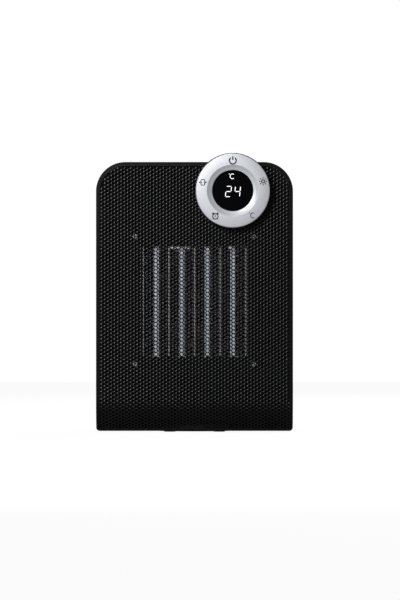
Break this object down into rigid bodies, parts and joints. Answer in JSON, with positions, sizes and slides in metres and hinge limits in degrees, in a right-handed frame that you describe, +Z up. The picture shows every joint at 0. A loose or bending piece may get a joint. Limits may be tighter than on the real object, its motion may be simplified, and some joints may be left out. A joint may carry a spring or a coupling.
{
  "type": "ceramic space heater",
  "caption": "Upright desk heater: rounded black case, perforated front over a ceramic element, fan, silver key ring with display, turntable base.",
  "frame": {"origin": "on the floor under the middle of the whole heater; the turntable's axis is 4 mm behind it", "axes": "+Z up, -Y out of the front sheet, +X to the right of someone facing the front"},
  "size_m": [0.19, 0.1376, 0.2696],
  "materials": {
    "shell_gloss": "glossy black moulded plastic",
    "cover_matte": "fine-textured black plastic",
    "grille_paint": "black enamelled perforated steel",
    "inner_black": "plain black heat-proof plastic",
    "ivory_insulator": "heat-proof insulating plastic",
    "heater_aluminium": "bright extruded aluminium",
    "fin_aluminium": "thin corrugated aluminium",
    "brass": "plain stamped brass",
    "sintered_bronze": "oil-filled sintered bronze",
    "zinc_steel": "zinc-plated steel",
    "motor_steel": "laminated motor steel",
    "rotor_aluminium": "die-cast rotor",
    "copper_winding": "enamelled copper winding",
    "fan_plastic": "moulded fan plastic",
    "nylon_white": "natural nylon",
    "rubber_black": "soft moulded rubber",
    "silicone": "translucent grey silicone",
    "ptfe": "low-friction plastic",
    "ring_silver": "satin silver finish on plastic",
    "lens_black": "polished dark window",
    "board_green": "lacquered circuit board",
    "part_black": "moulded component case",
    "relay_blue": "moulded relay case",
    "film_yellow": "moulded capacitor case",
    "terminal_green": "moulded terminal case",
    "filter_foam": "open-pored dust filter",
    "rocker_black": "polished rocker"
  },
  "bodies": {
    "stand": {"base_plate": "cover_matte", "base_feet": "rubber_black", "glide_ring": "ptfe", "swing_gear": "nylon_white", "gear_screws": "zinc_steel"},
    "heater": {"housing_shell": "shell_gloss", "rear_cover": "cover_matte", "inlet_filter": "filter_foam", "cover_screws": "zinc_steel", "bottom_pan": "cover_matte", "pan_screws": "zinc_steel", "front_grille": "grille_paint", "grille_frame": "inner_black", "swing_motor": "zinc_steel", "swing_motor_screws": "zinc_steel", "ptc_bars": "heater_aluminium", "ptc_fins": "fin_aluminium", "fin_plates": "fin_aluminium", "ptc_terminals": "brass", "ptc_end_caps": "ivory_insulator", "heater_frame": "inner_black", "frame_screws": "zinc_steel", "air_duct": "inner_black", "thermal_cutout": "zinc_steel", "fan_shroud": "inner_black", "shroud_screws": "zinc_steel", "motor_bushes": "sintered_bronze", "motor_brackets": "zinc_steel", "stator_core": "motor_steel", "coil_bobbin": "nylon_white", "motor_coil": "copper_winding", "motor_screws": "zinc_steel", "power_board": "board_green", "board_screws": "zinc_steel", "relays": "relay_blue", "capacitor": "film_yellow", "transformer": "part_black", "terminal_block": "terminal_green", "dial_cup": "shell_gloss", "dial_nut": "inner_black", "display_lens": "lens_black", "display_board": "board_green", "digit_module": "part_black", "key_switches": "part_black", "return_pads": "silicone", "switch_body": "cover_matte", "cord_gland": "rubber_black", "air_sensor": "part_black", "tilt_case": "part_black", "tilt_pin": "zinc_steel"},
    "fan": {"fan_blade": "fan_plastic", "motor_shaft": "zinc_steel", "motor_rotor": "rotor_aluminium"},
    "key_ring": {"control_ring": "ring_silver"},
    "rocker": {"switch_rocker": "rocker_black"},
    "pendulum": {"tilt_pendulum": "brass"},
    "pinion": {"swing_pinion": "nylon_white"}
  },
  "joints": [
    {"name": "swing", "type": "hinge", "parent": "stand", "child": "heater", "pos_m": [0, 0.004, 0.004], "axis": [0, 0, 1], "range_deg": [-35, 35]},
    {"name": "pinion_turn", "type": "hinge", "parent": "heater", "child": "pinion", "pos_m": [0.03, 0.004, 0.012], "axis": [0, 0, 1], "range_deg": [-105, 105]},
    {"name": "fan_spin", "type": "hinge", "parent": "heater", "child": "fan", "pos_m": [0, 0.0215, 0.1265], "axis": [0, 1, 0], "continuous": true},
    {"name": "ring_press", "type": "slide", "parent": "heater", "child": "key_ring", "axis": [0, 1, 0], "range_m": [0, 0.0006], "stiffness_N_per_m": 2500, "springref_m": -0.0002},
    {"name": "rocker_tip", "type": "hinge", "parent": "heater", "child": "rocker", "pos_m": [0.062, 0.0645, 0.034], "axis": [1, 0, 0], "range_deg": [-18, 0]},
    {"name": "tilt_swing", "type": "hinge", "parent": "heater", "child": "pendulum", "pos_m": [-0.03, 0.027, 0.02815], "axis": [0, 1, 0], "range_deg": [-28, 28]}
  ],
  "couplings": [
    {"joint": "pinion_turn", "follows": "swing", "ratio": 3}
  ]
}
